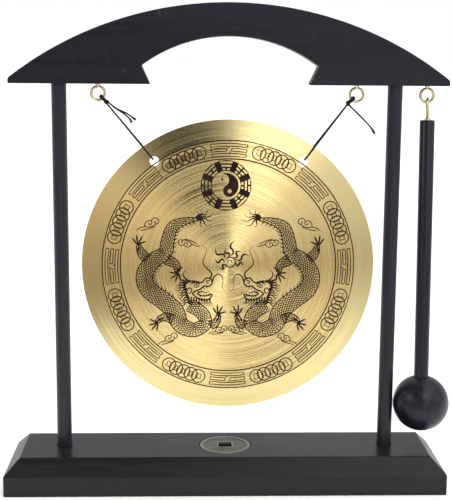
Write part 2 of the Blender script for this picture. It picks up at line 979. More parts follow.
@dataclass(frozen=True)
class HangingCord:
    """One of the gong's two cords, doubled through the disc's hole and tied at its ring.

    Every millimetre field is measured from where the cord hangs in its ring: out of the
    ring towards the disc, forward, and across towards the side that the cut ends stand to.
    """

    side: Side
    hole: Vector  # the middle of the disc's hole, in millimetres
    diameter: float = 0.8 * MM
    ring_x: float = 64.9
    ring_z: float = 201.9
    ring_radius: float = 3.35
    loop_radius: float = 1.75
    knot_at: float = 2.6
    spread: float = 0.58
    leave: float = 4.3
    beside: float = 0.44  # how far each pass over the ring stands off its middle
    inner: float = 0.5  # how far forward and back the strands lie inside the knot
    outer: float = 0.62  # and the cut ends over them
    hitch_turns: float = 2.25
    hitch_radius: float = 0.92
    hitch_reach: float = 0.85
    ply_pitch: float = 2.4 * MM
    relief: float = 0.1  # how far the plies stand up, as a share of the radius
    sides: int = 12
    fray: float = 0.7  # how much the cut ends swell
    fray_long: float = 5 * MM
    # The doubled strand at the disc: distance from the hole towards the ring, then Y.
    through: tuple = ((28, -0.65), (18, -0.75), (9, -0.9), (4.2, -1), (2.3, -1.05), (1.3, -0.3), (1.3, 0.8),
                      (2.1, 1.95), (3.8, 2.5), (9.2, 3.8), (11.5, 3.8), (19, 2.6), (28, 1.3))

    @property
    def out(self) -> Vector:
        """The direction from the ring's middle to the cord."""
        return Vector((-self.side.value, 0, -1)).normalized()

    @property
    def across(self) -> Vector:
        """The direction along the ring's wire towards the cut ends."""
        return Vector((1, 0, -self.side.value)).normalized()

    @property
    def wire(self) -> Vector:
        """The middle of the ring's wire where the cord hangs on it, in millimetres."""
        return Vector((self.side.value * self.ring_x, 0, self.ring_z)) + self.out * self.ring_radius

    @property
    def strand_across(self) -> float:
        """How far across the two strands leave the knot."""
        return -self.spread if self.side is Side.LEFT else 0.3

    def spot(self, out: float, forward: float, across: float) -> Vector:
        """A place by the ring, in millimetres."""
        return self.wire + self.out * out + self.across * across + Vector((0, -forward, 0))

    def loop(self, across: float) -> list[Vector]:
        """One pass over the ring's wire, from the front to the back."""
        ring = arc((0, 0), self.loop_radius, 55, 305, 10)
        return [self.spot(out, forward, across) for out, forward in ring]

    def down(self) -> list[Vector]:
        """The front strand from the knot to the hole and the back strand up again.

        Returns:
            The places that they pass through, in millimetres.
        """
        front, back = (self.spot(self.leave, way * self.spread, self.strand_across) for way in (1, -1))
        up = (front - self.hole) * Vector((1, 0, 1))
        up.normalize()
        return [front, *(self.hole + up * away + Vector((0, y, 0)) for away, y in self.through), back]

    def tails(self) -> tuple[list[Vector], list[Vector]]:
        """The two cut ends.

        Returns:
            The places that each passes through, from the knot outwards, in millimetres.
        """
        rows = {
            Side.LEFT: (
                ((4.5, 0.58, 0.6), (8.7, 0.6, 1.1), (13.2, 0.6, 2.1), (16.8, 0.5, 2.2), (18.7, 0.4, 1.6)),
                ((4.5, -0.58, 0.6), (8.7, -0.6, 1.2), (13.2, -0.5, 2.9), (16.8, -0.5, 3.6), (19.2, -0.4, 4))),
            Side.RIGHT: (
                ((2.8, 0.58, 1.8), (2.7, 0.6, 7.7), (2.6, 0.6, 12.9), (2.8, 0.6, 17), (3.5, 0.5, 20.6)),
                ((2.8, -0.58, 1.8), (2.5, -0.6, 7.7), (2.5, -0.6, 12.5), (2.6, -0.6, 16.6),
                 (3.1, -0.5, 19.6))),
        }[self.side]
        return tuple([self.spot(*row) for row in tail] for tail in rows)

    def route(self) -> list[Vector]:
        """The whole cord: end, knot, ring, back strand, hole, front strand, ring, knot, end.

        Returns:
            The places that it passes through, in metres.
        """
        first, second = self.tails()
        inner, outer, beside = self.inner, self.outer, self.beside
        points = [*reversed(first), self.spot(self.knot_at, outer, beside), *self.loop(beside),
                  self.spot(self.knot_at, -inner, 0), *reversed(self.down()),
                  self.spot(self.knot_at, inner, -beside), *self.loop(-beside),
                  self.spot(self.knot_at, -outer, 0.1), *second]
        return [point * MM for point in points]

    def hitch(self) -> list[Vector]:
        """The turns that bind the knot, drawn in at both ends.

        Returns:
            The places that they pass through, in metres.
        """
        points, steps = [], 44
        for share in (i / steps for i in range(steps + 1)):
            angle = 2 * math.pi * self.hitch_turns * share
            pull = self.hitch_radius * min(1.0, 0.45 + 4 * min(share, 1 - share))
            points.append(self.spot(self.knot_at + self.hitch_reach * (2 * share - 1),
                                    pull * math.sin(angle), pull * math.cos(angle)) * MM)
        return points

    def sweep(self, name: str, line: Sequence[Vector], frayed: bool) -> Workpiece:
        """A cord of three plies along a line, with a map round it and along its twist.

        Args:
            name: The piece's name.
            line: Its centreline.
            frayed: Whether its two ends swell where they were cut.

        Returns:
            The cord.
        """
        radius, sides = self.diameter / 2, self.sides
        tangents = [step.normalized() for step in neighbours(line)]
        runs = run_of(line)
        side = tangents[0].orthogonal().normalized()
        verts = []
        for point, before, along, run in zip(line, [tangents[0], *tangents], tangents, runs):
            side = before.rotation_difference(along) @ side
            other = along.cross(side)
            loose = 1 + self.fray * max(0.0, 1 - min(run, runs[-1] - run) / self.fray_long) ** 2
            for k in range(sides):
                angle = 2 * math.pi * k / sides
                phase = PLIES * (angle - 2 * math.pi * run / self.ply_pitch)
                swell = (1 + self.relief * math.cos(phase)) * (loose if frayed else 1)
                verts.append(point + (side * math.cos(angle) + other * math.sin(angle)) * radius * swell)
        last = (len(line) - 1) * sides
        faces = [(a + k, a + (k + 1) % sides, a + sides + (k + 1) % sides, a + sides + k)
                 for a in range(0, last, sides) for k in range(sides)]
        caps = [tuple(reversed(range(sides))), tuple(range(last, last + sides))]
        mesh = bpy.data.meshes.new(name)
        mesh.from_pydata(verts, [], faces + caps)
        layer = mesh.uv_layers.new(name="run")
        for face in mesh.polygons:
            seam = any(vertex % sides == sides - 1 for vertex in face.vertices)
            for loop, vertex in zip(face.loop_indices, face.vertices):
                k = vertex % sides or (sides if seam else 0)
                layer.data[loop].uv = (k / sides, runs[vertex // sides] / self.ply_pitch)
        mesh.update()
        return Workpiece.drawn(name, mesh).smooth(60)

    def build(self, look: Look) -> None:
        """Makes the cord and the turns of its knot.

        Args:
            look: The cord's material.
        """
        word = self.side.word
        line = flow(self.route(), 0.3 * MM)
        nodes = [f"cord_{part}_{word}" for part in ("loop", "strand", "tail_a", "tail_b")]
        rope = self.sweep(f"hanging_cord_{word}", line, True)
        cord = dress(rope, look, Body.GONG, "black_cord", *nodes)
        turns = self.sweep(f"cord_hitch_{word}", flow(self.hitch(), 0.2 * MM), False)
        knot = dress(turns, look, Body.GONG, "black_cord", f"cord_knot_{word}")
        self.wire * MM
        run_of(line)[-1]


# ---------------------------------------------------------------- stand


@dataclass(frozen=True)
class Stand:
    """Base, dowels, arched bar, screw eyes and the coin, sized from the frame's nodes."""

    chamfer_in: float = 7.5 * MM
    chamfer_down: float = 7.7 * MM
    board_edge: float = 0.45 * MM
    mouth_edge: float = 0.12 * MM
    socket_gap: float = 0.3 * MM
    socket_deep: float = 9 * MM
    recess_gap: float = 0.4 * MM
    recess_deep: float = 1.8 * MM
    screw_hole: float = 1.8 * MM  # radius
    sink_radius: float = 3.5 * MM
    sink_deep: float = 1.2 * MM
    sink_end: float = 3 * MM
    dowel_ease: float = 0.5 * MM
    pilot_deep: float = 12.8 * MM
    bar_radius: float = 180.4 * MM
    bar_edge: float = 0.5 * MM
    bar_tip: float = 1.1 * MM
    bar_socket: float = 12 * MM
    arch_radius: float = 73.9 * MM
    arch_top: float = 230.4 * MM
    arch_foot: float = 44 * MM
    arch_mouth: float = 39.7 * MM
    eye_drop: float = 4.8 * MM
    eye_ring: float = 3.35 * MM
    eye_wire: float = 0.75 * MM
    eye_shank: float = 5 * MM  # how far up the bar the wire is modelled
    eye_collar: float = 1.35 * MM
    coin_rim: float = 1.8 * MM
    coin_square: float = 6.9 * MM
    coin_frame: float = 0.9 * MM
    coin_sunk: float = 0.35 * MM
    coin_edge: float = 0.14 * MM

    def post_at(self, side: Side) -> tuple[Vector, Vector, float]:
        """Where a dowel stands.

        Args:
            side: Which dowel.

        Returns:
            Its lower and upper centres and its radius.
        """
        low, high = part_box(f"post_{side.word}")
        x = (low.x + high.x) / 2
        return Vector((x, 0, low.z)), Vector((x, 0, high.z)), (high.x - low.x) / 2

    def socket(self, side: Side, low: float, high: float) -> Workpiece:
        """The cutter of a dowel's socket, between two heights."""
        foot, _, radius = self.post_at(side)
        return Workpiece.rod("tool", radius + self.socket_gap, (foot.x, 0, low), (foot.x, 0, high))

    def base(self, look: Look) -> None:
        """The base: a board with wide chamfers, two dowel sockets and the coin's recess.

        Args:
            look: The board's material.
        """
        low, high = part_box("base")
        size = high - low
        board = Workpiece.box("base_board", low, (high.x, high.y, high.z - self.chamfer_down))
        narrow = (1 - 2 * self.chamfer_in / size.x, 1 - 2 * self.chamfer_in / size.y, 1)
        board.extrude((0, 0, 1), (0, 0, self.chamfer_down), narrow, (0, 0, high.z)).soften(self.board_edge)
        coin_low, coin_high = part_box("coin")
        above, deep = high.z + MM, high.z - self.socket_deep
        recess = (coin_high.x - coin_low.x) / 2 + self.recess_gap
        tools = [Workpiece.rod("tool", recess, (0, 0, high.z - self.recess_deep), (0, 0, above), 128)]
        wide, hole = self.sink_radius, self.screw_hole
        for side in Side:
            tools.append(self.socket(side, deep, above))
            sink = Workpiece.turned("tool", [
                (0, -MM), (wide, -MM), (wide, self.sink_deep), (hole, self.sink_end),
                (hole, deep + MM), (0, deep + MM)], 48)
            tools.append(sink.place(Matrix.Translation((self.post_at(side)[0].x, 0, 0))))
        board.cut(*tools).soften(self.mouth_edge, 2, 50).flatten()
        dress(board, look, Body.STAND, "black_wood", "base")

    def dowel(self, side: Side, look: Look) -> None:
        """A dowel with eased ends and a pilot hole for the base screw.

        Args:
            side: Which dowel.
            look: Its material.
        """
        foot, head, radius = self.post_at(side)
        ease, pilot, floor = self.dowel_ease, self.screw_hole, foot.z + self.pilot_deep
        profile = [(pilot, foot.z), (radius - ease, foot.z), (radius, foot.z + ease), (radius, head.z - ease),
                   (radius - ease, head.z), (0, head.z), (0, floor), (pilot, floor), (pilot, foot.z)]
        dowel = Workpiece.turned(f"dowel_{side.word}", profile).smooth()
        dowel.place(Matrix.Translation((foot.x, 0, 0)))
        dress(dowel, look, Body.STAND, "black_wood", f"post_{side.word}")

    def bar(self, look: Look) -> None:
        """The bar: a slice of a large disc with a flatter arch cut up into it.

        Args:
            look: The bar's material.
        """
        low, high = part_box("crossbar")
        x, z = (low.x + high.x) / 2, high.z - self.bar_radius
        half = (high.x - low.x) / 2
        bar = Workpiece.rod("arched_bar", self.bar_radius, (x, low.y, z), (x, high.y, z), 512)
        bar.slice((0, 0, low.z), (0, 0, -1))
        for way in (-1, 1):
            bar.slice((x + way * half, 0, 0), (way, 0, 0))
        with bar.editing(ends=lambda co: abs(co.x - x) > half - 0.01 * MM and co.z > low.z + MM):
            bpy.ops.mesh.bevel(offset=self.bar_tip, segments=4, affect="EDGES")
        arch_z = self.arch_top - self.arch_radius
        foot_z = arch_z + math.sqrt(self.arch_radius ** 2 - self.arch_foot ** 2)
        drop = foot_z - low.z + MM
        narrow = 1 - (self.arch_foot - self.arch_mouth) / self.arch_foot * drop / (foot_z - low.z)
        arch = Workpiece.rod("tool", self.arch_radius, (x, low.y * 2, arch_z), (x, high.y * 2, arch_z), 384)
        arch.slice((0, 0, foot_z), (0, 0, -1))
        arch.extrude((0, 0, -1), (0, 0, -drop), (narrow, 1, 1), (x, 0, low.z))
        bar.cut(arch).soften(self.bar_edge)
        bar.cut(*[self.socket(side, low.z - MM, low.z + self.bar_socket) for side in Side]).flatten(25)
        dress(bar, look, Body.STAND, "black_wood", "crossbar")

    def screw_eye(self, name: str, node: str, look: Look) -> None:
        """A screw eye: wire bent round into a ring, its neck flared where it enters the wood.

        Args:
            name: The piece's name.
            node: The frame's node that it stands for.
            look: Its material.
        """
        low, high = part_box(node)
        x = (low.x + high.x) / 2
        bar_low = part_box("crossbar")[0].z
        middle = bar_low - self.eye_drop
        ring = [(x + out, 0, middle + up) for out, up in arc((0, 0), self.eye_ring, 97, 440, 60)]
        neck = [(x, 0, bar_low + self.eye_shank), (x, 0, bar_low), (x - 0.05 * MM, 0, middle + 4.2 * MM)]
        loop = tube(name, [*flow([*neck, *ring[:2]], 0.3 * MM), *ring[2:]], self.eye_wire)
        top, crown = bar_low - 0.05 * MM, middle + self.eye_ring
        flare = Workpiece.turned("tool", [
            (0, crown), (self.eye_wire, crown + 0.1 * MM), (self.eye_wire * 1.1, crown + 0.5 * MM),
            (self.eye_collar, top - 0.25 * MM), (self.eye_collar, top), (0, top)], 32)
        loop.join(flare.place(Matrix.Translation((x, 0, 0)))).smooth(40)
        dress(loop, look, Body.STAND, "brass_wire", node)

    def coin(self, look: Look) -> None:
        """The coin: a rim, a framed square hole and a sunk field between them.

        Args:
            look: The coin's material.
        """
        low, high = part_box("coin")
        radius, half, over = (high.x - low.x) / 2, self.coin_square / 2, high.z + MM
        coin = Workpiece.rod("inlaid_coin", radius, (0, 0, low.z), (0, 0, high.z), 160)
        floor = high.z - self.coin_sunk
        field = Workpiece.rod("tool", radius - self.coin_rim, (0, 0, floor), (0, 0, over), 128)
        wide = half + self.coin_frame
        field.cut(Workpiece.box("tool", (-wide, -wide, low.z), (wide, wide, over + MM)))
        hole = Workpiece.box("tool", (-half, -half, low.z - MM), (half, half, over))
        coin.cut(field, hole).soften(self.coin_edge).flatten(40)
        dress(coin, look, Body.STAND, "coin_metal", "coin")

    def build(self, board: Look, arch: Look, upright: Look, brass: Look, coin: Look, steel: Look) -> None:
        """Makes the whole stand.

        Args:
            board: The base's material.
            arch: The bar's material.
            upright: The dowels' material.
            brass: The screw eyes' material.
            coin: The coin's material.
            steel: The base screws' material.
        """
        self.base(board)
        self.bar(arch)
        for side in Side:
            self.dowel(side, upright)
            self.screw_eye(f"ring_{side.word}", f"gong_eye_{side.word}", brass)
            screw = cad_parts[f"base_screw_{side.word}"]
            screw.data.materials.clear()
            screw.data.materials.append(steel)
        self.screw_eye("ring_mallet", "mallet_eye", brass)
        self.coin(coin)


# ---------------------------------------------------------------- gong


@dataclass(frozen=True)
class GongPlate:
    """The brass disc, turned from sheet with its rim bent back."""

    x: float = 0.9 * MM
    z: float = 114.2 * MM
    thickness: float = 1.2 * MM
    face_radius: float = 63.6 * MM
    bend_radius: float = 5 * MM
    flange: float = 8  # degrees
    radius: float = 75 * MM
    hole: float = 2.45 * MM
    hole_out: float = 65.8 * MM
    hole_angle: float = 35  # degrees each side of the top
    edge: float = 0.16 * MM

    @property
    def centre(self) -> Vector:
        """The middle of the face."""
        return Vector((self.x, -self.thickness, self.z))

    def hole_at(self, side: Side) -> Vector:
        """The middle of a cord's hole, in the plane Y = 0.

        Args:
            side: Which of the two holes.

        Returns:
            The point, with the gong at rest.
        """
        angle = math.radians(self.hole_angle)
        x = self.x + side.value * self.hole_out * math.sin(angle)
        return Vector((x, 0, self.z + self.hole_out * math.cos(angle)))

    def profile(self) -> list[tuple[float, float]]:
        """The sheet's section.

        Returns:
            Its outline as (radius, depth behind the face), front first.
        """
        half, bends = self.thickness / 2, 8
        line = [(0.0, half, 0.0)]
        for angle in (math.radians(self.flange) * i / bends for i in range(bends + 1)):
            line.append((self.face_radius + self.bend_radius * math.sin(angle),
                         half + self.bend_radius * (1 - math.cos(angle)), angle))
        r, y, angle = line[-1]
        line.append((self.radius, y + (self.radius - r) * math.tan(angle), angle))
        front = [(r + half * math.sin(a), y - half * math.cos(a)) for r, y, a in line]
        back = [(r - half * math.sin(a), y + half * math.cos(a)) for r, y, a in reversed(line)]
        return [*front, *back]

    def fall(self, radius: float) -> float:
        """How far the front surface lies behind the face.

        Args:
            radius: The place's distance from the disc's middle.

        Returns:
            The depth.
        """
        flange = math.radians(self.flange)
        bend = self.bend_radius + self.thickness / 2
        past = radius - self.face_radius
        if past <= 0:
            return 0.0
        if past < bend * math.sin(flange):
            return bend - math.sqrt(bend ** 2 - past ** 2)
        return bend * (1 - math.cos(flange)) + (past - bend * math.sin(flange)) * math.tan(flange)

    def build(self, look: Look) -> None:
        """Turns the plate, drills its two holes and eases the edges.

        Args:
            look: The brass.
        """
        plate = Workpiece.turned("gong_plate", self.profile(), 360)
        plate.place(Matrix.Translation(self.centre) @ Matrix.Rotation(math.radians(-90), 4, "X"))
        holes, reach = [self.hole_at(side) for side in Side], Vector((0, 6 * MM, 0))
        plate.cut(*[Workpiece.rod("tool", self.hole, at - reach, at + reach, 48) for at in holes])
        dress(plate.soften(self.edge, 2, 40).flatten(), look, Body.GONG, "gong_brass", "gong_disc")


class InkDrawing:
    """Printed line work. It is drawn flat in millimetres from the disc's middle and laid on the face."""

    rise = 0.035  # millimetres of ink above the brass
    line_rise = 3 * rise  # of a drawn line, for each millimetre of its half-width
    merge = 0.002  # millimetres within which points meet

    def __init__(self, name: str, flip: int = 1) -> None:
        """Starts a drawing.

        Args:
            name: The piece's name.
            flip: -1 to draw everything mirrored across the upright line.
        """
        self.name = name
        self.flip = flip
        self.lines = self.sheet("3D")
        self.lines.bevel_depth = 1
        self.lines.bevel_resolution = 0
        self.lines.use_fill_caps = True
        self.lines.resolution_u = 4
        self.plates = self.sheet("2D")
        self.plates.fill_mode = "BOTH"
        self.plates.extrude = 1

    def sheet(self, dimensions: str) -> bpy.types.Curve:
        """An empty curve to draw on.

        Args:
            dimensions: "2D" or "3D".

        Returns:
            The curve.
        """
        curve = bpy.data.curves.new(self.name, "CURVE")
        curve.dimensions = dimensions
        return curve

    def line(self, points: Rows, width: float = 0.5, taper: Taper = Taper.NONE,
             closed: bool = False, bent: bool = True) -> None:
        """Draws one stroke.

        Args:
            points: The places that it passes through.
            width: Its full width.
            taper: Where it thins out to a point.
            closed: Whether its end meets its start.
            bent: Whether it curves through its points or runs straight between them.
        """
        spline = self.lines.splines.new("BEZIER")
        spline.bezier_points.add(len(points) - 1)
        handle = "AUTO" if bent else "VECTOR"
        last = len(points) - 1
        for i, (knot, (x, y)) in enumerate(zip(spline.bezier_points, points)):
            knot.co = (x * self.flip, y, 0)
            knot.handle_left_type = knot.handle_right_type = handle
            knot.radius = width / 2 * taper.at(i / last)
        spline.use_cyclic_u = closed

    def plate(self, outline: Rows) -> None:
        """Fills an outline, or opens a window where it lies inside another.

        Args:
            outline: Its corners.
        """
        spline = self.plates.splines.new("POLY")
        spline.points.add(len(outline) - 1)
        for point, (x, y) in zip(spline.points, outline):
            point.co = (x * self.flip, y, 0, 1)
        spline.use_cyclic_u = True

    def print(self, plate: GongPlate, look: Look) -> None:
        """Turns the drawing into one thin mesh on the disc.

        Args:
            plate: The disc.
            look: The ink.
        """
        shells = []
        for curve, depth in ((self.lines, self.line_rise), (self.plates, self.rise)):
            if curve.splines:
                shell = Workpiece.drawn(self.name, curve)
                bpy.ops.object.convert(target="MESH")
                shells.append(shell.weld(self.merge).place(Matrix.Diagonal((1, 1, depth, 1))))
        whole = shells[0].join(*shells[1:])
        upright = Matrix.Rotation(math.radians(90), 4, "X") @ Matrix.Scale(MM, 4)
        whole.place(Matrix.Translation(plate.centre) @ upright)
        for point in whole.obj.data.vertices:
            point.co.y += plate.fall(math.hypot(point.co.x - plate.x, point.co.z - plate.z))
        dress(whole, look, Body.GONG, "gong_brass")


class DiscOrnament:
    """The printed border, wheel of signs, pearl, clouds and pair of dragons."""

    outer = 64.6
    inner = 55.3
    middle = (outer + inner) / 2
    fret_half = 0.72  # half of a bar's width
    fret_pitch = 2.5

    def __init__(self, plate: GongPlate, look: Look) -> None:
        """Takes what the ornament is made on and of.

        Args:
            plate: The disc that it is printed on.
            look: The ink.
        """
        self.plate = plate
        self.look = look

    def rings(self) -> None:
        """The border's two circles."""
        ink = InkDrawing("border_rings")
        for radius in (self.outer, self.inner):
            ink.line(arc((0, 0), radius, 0, 345, 23), 0.62, closed=True)
        ink.print(self.plate, self.look)

    def bar(self, x0: float, x1: float, row: int) -> list[tuple]:
        """One outlined bar of a fret at the top of the disc, bent to the border's curve.

        Args:
            x0: Where it starts.
            x1: Where it ends.
            row: -1, 0 or 1, from the inner row out.

        Returns:
            Its outline.
        """
        mid = self.middle + row * self.fret_pitch
        edge = [(x0, self.fret_half), (x1, self.fret_half), (x1, -self.fret_half), (x0, -self.fret_half)]
        bent = []
        for (xa, ya), (xb, yb) in zip(edge, edge[1:] + edge[:1]):
            for share in (0, 1 / 3, 2 / 3):
                turn, out = (xa + (xb - xa) * share) / self.middle, mid + ya + (yb - ya) * share
                bent.append((out * math.sin(turn), out * math.cos(turn)))
        return bent

    def frets(self) -> None:
        """Eight panels of outlined bars, the middle bar of each split by a link."""
        ink = InkDrawing("border_frets")
        half, gap, reach = 9.0, 1.3, self.fret_pitch - self.fret_half
        bars = [self.bar(x0, x1, row) for x0, x1, row in (
            (-half, half, -1), (-half, half, 1), (-half, -gap, 0), (gap, half, 0))]
        for turn in range(0, -360, -45):
            for bent in bars:
                ink.line(swung(bent, turn), 0.52, closed=True, bent=False)
            for x, row in ((-0.5, 1), (0.5, -1)):
                link = [(x, self.middle + row * self.fret_half), (x, self.middle + row * reach)]
                ink.line(swung(link, turn), 0.5, bent=False)
        ink.print(self.plate, self.look)

    def chains(self) -> None:
        """Eight chains of five linked rings, each round a square with drawn-in sides."""
        ink = InkDrawing("border_coin_chains")
        middle, radius, step, side, pinch = self.middle + 0.2, 3.45, 4.1, 1.5, 1.15
        square = [(-side, -side), (0, -pinch), (side, -side), (pinch, 0),
                  (side, side), (0, pinch), (-side, side), (-pinch, 0)]
        for turn in range(0, 360, 45):
            for k in range(-2, 3):
                angle = -turn - 22.5 - math.degrees(k * step / middle)
                spot = swung([(0, middle)], angle)[0]
                ink.line(swung(arc((0, 0), radius, 0, 330, 11), angle, spot), 0.58, closed=True)
                ink.line(swung(square, angle, spot), 0.44, closed=True, bent=False)
        ink.print(self.plate, self.look)

    def wheel(self) -> None:
        """The wheel of eight three-bar signs round a disc of two halves."""
        ink = InkDrawing("eight_sign_wheel")
        centre, big, lean, thick, gap = (-1.4, 41.8), 6.35, 32, 0.48, 0.45
        for radius in (12.9, 7.35):
            ink.plate(arc(centre, radius, 0, 357, 119))
        for turn, sign in enumerate(("110", "000", "010", "100", "111", "001", "011", "101")):
            for row, whole in enumerate(sign):
                high, reach = 11.75 - 1.72 * row, 3.1 - 0.68 * row
                for x0, x1 in [(-reach, reach)] if whole == "1" else [(-reach, -gap), (gap, reach)]:
                    bar = [(x0, high - thick), (x1, high - thick), (x1 * 1.05, high + thick),
                           (x0 * 1.05, high + thick)]
                    ink.plate(swung(bar, -turn * 45, centre))
        small = big / 2
        half = [*arc((0, 0), big, 90, -90, 40), *arc((0, -small), small, 270, 90, 24)[1:],
                *arc((0, small), small, -90, 90, 24)[1:-1]]
        low_eye = arc((0, -small - 0.2), 1.05, 0, 345, 23)
        high_eye = [(x * 0.75, y) for x, y in arc((0, small + 0.6), 0.7, 0, 345, 23)]
        for shape in (half, low_eye, high_eye):
            ink.plate(swung(shape, lean, centre))
        ink.print(self.plate, self.look)

    def pearl(self) -> None:
        """A small pearl with licks of flame round it."""
        ink = InkDrawing("flaming_pearl")
        centre = (1.0, 2.2)
        ink.line(arc(centre, 2.6, 200, 500, 12), 0.6)
        curl = [(1.0, -0.3), (0.2, 0.9), (-1.0, 0.2), (-0.3, -1.2), (1.4, -1.1)]
        ink.line(swung(curl, 0, centre), 0.6, Taper.END)
        for angle, long in ((84, 5.2), (52, 7.8), (20, 4.6), (-6, 8.6), (-38, 5), (-66, 7.6), (-100, 4),
                            (124, 3.4)):
            lick = [(-0.7, 2.7), (1.1, 2.8 + long * 0.3), (-0.9, 2.8 + long * 0.65), (0.9, 2.8 + long)]
            ink.line(swung(lick, angle, centre), 1.15, Taper.BOTH)
        ink.print(self.plate, self.look)

    def clouds(self) -> None:
        """Four small curled clouds on each side."""
        curls = ([(-7.5, -1.8), (-5.2, -0.9), (-3.2, -0.7), (-2.4, 0.9), (-0.6, 1.9), (1.0, 1.0), (0.6, -0.2),
                  (-0.5, -0.1), (-0.5, 0.8)],
                 [(0.9, 1.3), (2.3, 2.5), (4.2, 1.8), (4.5, 0.2), (3.3, -0.6), (2.4, 0.2), (3.0, 1.0)],
                 [(-3.2, -0.7), (-1.0, -1.5), (1.6, -1.3), (3.3, -0.6)],
                 [(-5.6, -2.3), (-2.6, -2.4), (0.2, -2.2), (2.0, -1.8)])
        for side in Side:
            ink = InkDrawing(f"clouds_{side.word}", -side.value)
            for x, y, size, angle in ((-40, 22, 1, 12), (-21.5, 12, 0.9, 155), (-30, -38, 0.9, 14),
                                      (-4, -33.5, 0.8, 6)):
                for curl in curls:
                    ink.line(swung(curl, angle, (x, y), size), 0.48)
            ink.print(self.plate, self.look)

    def build(self) -> None:
        """Prints everything."""
        self.rings()
        self.frets()
        self.chains()
        self.wheel()
        self.pearl()
        self.clouds()
        for side in Side:
            DragonArt(side).print(self.plate, self.look)


